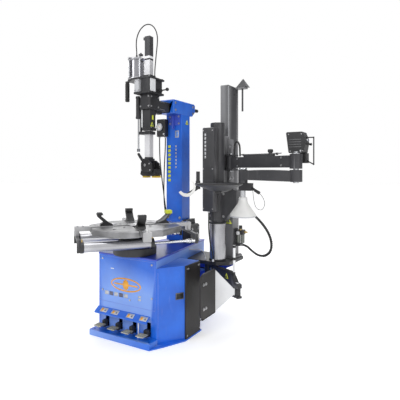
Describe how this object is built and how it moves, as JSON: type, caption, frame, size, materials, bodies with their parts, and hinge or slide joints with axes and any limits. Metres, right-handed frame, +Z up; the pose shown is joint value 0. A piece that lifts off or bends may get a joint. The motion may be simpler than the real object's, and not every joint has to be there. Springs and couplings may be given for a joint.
{
  "type": "tire changer machine",
  "caption": "Floor-standing tilt-back tire changer with clamping turntable, lever-less tool head, pedal cabinet, bead breaker and swinging help arm.",
  "frame": {"origin": "point on the floor plane straight under the turntable axis", "axes": "+X to the help-arm side (operator's right), +Y from the operator towards the tower, +Z up"},
  "size_m": [1.5546, 1.1904, 2.2166],
  "materials": {
    "blue_paint": "gloss powder coat",
    "black_paint": "satin textured paint",
    "grey_paint": "satin dark grey paint",
    "bare_steel": "ground steel",
    "cast_grey": "machined casting",
    "alloy": "drawn tube, clear anodised",
    "chrome_rod": "hard chrome",
    "black_rubber": "matt",
    "black_plastic": "fine grain",
    "white_nylon": "satin"
  },
  "bodies": {
    "base": {"foot_plate": "blue_paint", "cabinet_shell": "blue_paint", "top_plate": "blue_paint", "pedal_hood": "blue_paint", "bead_pad": "black_rubber", "motor_drive": "cast_grey", "gearbox": "cast_grey", "valve_bank": "black_paint", "panel_screws": "bare_steel", "hub_cover": "black_plastic", "tower_foot_bracket": "black_paint", "side_bracket": "black_paint", "mast": "grey_paint", "help_lift_cylinder": "alloy", "air_unit": "black_plastic", "bead_cylinder": "bare_steel", "service_hose": "black_rubber", "lift_hose": "black_rubber", "air_line": "black_rubber"},
    "turntable": {"turntable_spindle": "cast_grey", "star_plate": "cast_grey"},
    "jaw_1": {"jaw_1": "bare_steel", "clamp_rods": "chrome_rod"},
    "jaw_2": {"jaw_2": "bare_steel"},
    "jaw_3": {"jaw_3": "bare_steel", "clamp_cylinders": "alloy"},
    "jaw_4": {"jaw_4": "bare_steel"},
    "tower": {"tower_column": "blue_paint", "tower_head": "blue_paint", "gauge_box": "black_plastic", "gauge_hose_1": "black_rubber", "gauge_hose_2": "black_rubber"},
    "arm": {"horizontal_arm": "black_paint", "head_block": "black_paint", "lift_cylinder": "alloy", "shaft_guide": "black_paint", "head_hose": "black_rubber"},
    "lock_lever": {"lock_lever": "black_plastic"},
    "tool_shaft": {"tool_shaft": "chrome_rod", "tilt_cylinder": "alloy"},
    "tilt_rod": {"tilt_rod": "chrome_rod"},
    "mount_head": {"mount_head": "bare_steel"},
    "carriage": {"carriage": "grey_paint", "carriage_cover": "black_plastic"},
    "beam": {"upper_beam": "grey_paint", "control_box": "black_plastic"},
    "link": {"lower_link": "grey_paint"},
    "clamp_lever": {"clamp_lever": "grey_paint"},
    "press_rod": {"press_rod": "chrome_rod"},
    "press_cone": {"press_cone": "white_nylon"},
    "lower_arm": {"lower_arm": "black_paint"},
    "disc": {"lifting_disc": "grey_paint"},
    "shoe": {"press_shoe": "bare_steel"},
    "bead_rod": {"bead_rod": "bare_steel"},
    "bead_arm": {"bead_arm": "black_paint"},
    "bead_blade": {"bead_blade": "grey_paint"},
    "pedal_1": {"pedal_1": "bare_steel"},
    "pedal_2": {"pedal_2": "bare_steel"},
    "pedal_3": {"pedal_3": "bare_steel"},
    "pedal_4": {"pedal_4": "bare_steel"}
  },
  "joints": [
    {"name": "pedal_1_press", "type": "hinge", "parent": "base", "child": "pedal_1", "pos_m": [-0.17, -0.04, 0.076], "axis": [1, 0, 0], "range_deg": [0, 9], "stiffness_Nm_per_rad": 20, "springref_deg": -8.59},
    {"name": "pedal_2_press", "type": "hinge", "parent": "base", "child": "pedal_2", "pos_m": [-0.05, -0.04, 0.076], "axis": [1, 0, 0], "range_deg": [0, 9], "stiffness_Nm_per_rad": 20, "springref_deg": -8.59},
    {"name": "pedal_3_press", "type": "hinge", "parent": "base", "child": "pedal_3", "pos_m": [0.07, -0.04, 0.076], "axis": [1, 0, 0], "range_deg": [0, 9], "stiffness_Nm_per_rad": 20, "springref_deg": -8.59},
    {"name": "pedal_4_press", "type": "hinge", "parent": "base", "child": "pedal_4", "pos_m": [0.19, -0.04, 0.076], "axis": [1, 0, 0], "range_deg": [0, 9], "stiffness_Nm_per_rad": 20, "springref_deg": -8.59},
    {"name": "table_spin", "type": "hinge", "parent": "base", "child": "turntable", "pos_m": [0, 0, 0.7], "axis": [0, 0, 1], "continuous": true},
    {"name": "jaw_1_slide", "type": "slide", "parent": "turntable", "child": "jaw_1", "axis": [0.6428, 0.766, 0], "range_m": [-0.09, 0.025]},
    {"name": "jaw_2_slide", "type": "slide", "parent": "turntable", "child": "jaw_2", "axis": [-0.766, 0.6428, 0], "range_m": [-0.09, 0.025]},
    {"name": "jaw_3_slide", "type": "slide", "parent": "turntable", "child": "jaw_3", "axis": [-0.6428, -0.766, 0], "range_m": [-0.09, 0.025]},
    {"name": "jaw_4_slide", "type": "slide", "parent": "turntable", "child": "jaw_4", "axis": [0.766, -0.6428, 0], "range_m": [-0.09, 0.025]},
    {"name": "tower_tilt", "type": "hinge", "parent": "base", "child": "tower", "pos_m": [0, 0.6, 0.61], "axis": [-1, 0, 0], "range_deg": [0, 25]},
    {"name": "arm_slide", "type": "slide", "parent": "tower", "child": "arm", "axis": [0, 1, 0], "range_m": [-0.12, 0.06]},
    {"name": "lock_lever_turn", "type": "hinge", "parent": "arm", "child": "lock_lever", "pos_m": [0.08, 0.19, 1.722], "axis": [1, 0, 0], "range_deg": [-35, 15]},
    {"name": "shaft_slide", "type": "slide", "parent": "arm", "child": "tool_shaft", "axis": [0, 0, 1], "range_m": [-0.25, 0]},
    {"name": "head_tilt", "type": "hinge", "parent": "tool_shaft", "child": "mount_head", "pos_m": [0, 0.161, 1.178], "axis": [0, 1, 0], "range_deg": [-12, 8]},
    {"name": "tilt_rod_slide", "type": "slide", "parent": "tool_shaft", "child": "tilt_rod", "axis": [0, 0, 1], "range_m": [-0.02, 0.014]},
    {"name": "carriage_lift", "type": "slide", "parent": "base", "child": "carriage", "axis": [0, 0, 1], "range_m": [0, 0.27]},
    {"name": "beam_swing", "type": "hinge", "parent": "carriage", "child": "beam", "pos_m": [0.49, 0.534, 1.2], "axis": [0, 0, 1], "range_deg": [0, 60]},
    {"name": "link_swing", "type": "hinge", "parent": "beam", "child": "link", "pos_m": [1.049, 0.317, 1.1], "axis": [0, 0, 1], "range_deg": [-12, 0]},
    {"name": "clamp_lever_turn", "type": "hinge", "parent": "link", "child": "clamp_lever", "pos_m": [0.675, 0.332, 1.03], "axis": [0, 0, 1], "range_deg": [-20, 20]},
    {"name": "press_rod_slide", "type": "slide", "parent": "link", "child": "press_rod", "axis": [0, 0, 1], "range_m": [-0.05, 0.03]},
    {"name": "cone_spin", "type": "hinge", "parent": "press_rod", "child": "press_cone", "pos_m": [0.675, 0.332, 0.88], "axis": [0, 0, 1], "continuous": true},
    {"name": "lower_arm_swing", "type": "hinge", "parent": "carriage", "child": "lower_arm", "pos_m": [0.505, 0.478, 1], "axis": [0, 0, 1], "range_deg": [0, 15]},
    {"name": "disc_spin", "type": "hinge", "parent": "lower_arm", "child": "disc", "pos_m": [0.629, 0.06, 1.02], "axis": [0, 0, 1], "continuous": true},
    {"name": "shoe_swing", "type": "hinge", "parent": "lower_arm", "child": "shoe", "pos_m": [0.4, 0.19, 1.04], "axis": [0, 0, 1], "range_deg": [-40, 35]},
    {"name": "bead_arm_swing", "type": "hinge", "parent": "base", "child": "bead_arm", "pos_m": [0.33, 0.47, 0.37], "axis": [0, 0, 1], "range_deg": [-15, 40]},
    {"name": "blade_swivel", "type": "hinge", "parent": "bead_arm", "child": "bead_blade", "pos_m": [0.65, 0.3, 0.31], "axis": [0, 0, 1], "range_deg": [0, 12]},
    {"name": "bead_rod_slide", "type": "slide", "parent": "base", "child": "bead_rod", "axis": [1, 0, 0], "range_m": [-0.035, 0.015]}
  ],
  "couplings": [
    {"joint": "jaw_2_slide", "follows": "jaw_1_slide", "ratio": 1},
    {"joint": "jaw_3_slide", "follows": "jaw_1_slide", "ratio": 1},
    {"joint": "jaw_4_slide", "follows": "jaw_1_slide", "ratio": 1},
    {"joint": "tilt_rod_slide", "follows": "head_tilt", "m_per_rad": 0.085},
    {"joint": "bead_rod_slide", "follows": "bead_arm_swing", "m_per_rad": -0.042}
  ]
}
